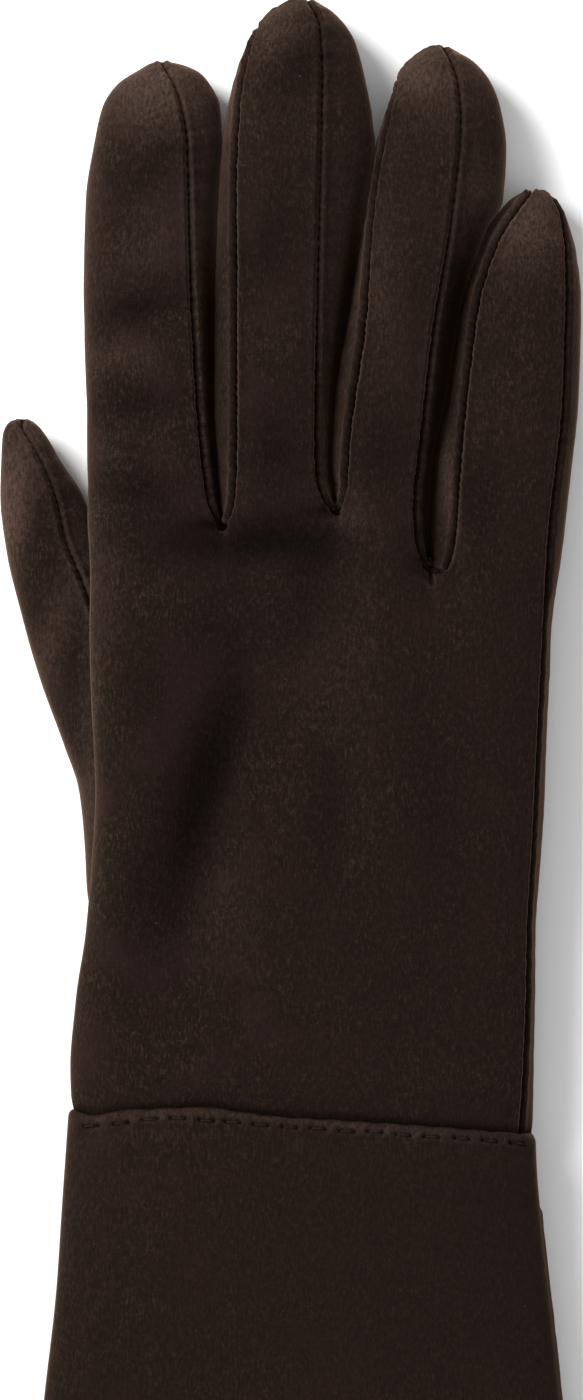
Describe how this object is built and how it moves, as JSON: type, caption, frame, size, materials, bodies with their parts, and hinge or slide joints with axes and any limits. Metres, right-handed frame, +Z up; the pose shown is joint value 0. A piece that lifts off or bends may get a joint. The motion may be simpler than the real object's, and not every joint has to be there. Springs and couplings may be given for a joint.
{
  "type": "elbow-length suede glove",
  "caption": "Long suede glove for the right hand, lying palm down, with side strips between the fingers, a thumb tucked under and a flared cuff sewn over the wrist.",
  "frame": {"origin": "on the surface the glove lies on, under the middle of its length and width", "axes": "+Y along the glove from the elbow to the fingertips, +X from the index finger to the little finger, +Z up from the surface through the palm to the back of the hand"},
  "size_m": [0.1304, 0.44, 0.0176],
  "materials": {
    "suede": "dark brown suede with a short soft nap",
    "thread": "dark brown sewing thread"
  },
  "bodies": {
    "root": {"trank": "suede", "fork_index_middle": "suede", "fork_middle_ring": "suede", "fork_ring_little": "suede", "thumb": "suede", "cuff": "suede"}
  },
  "joints": []
}
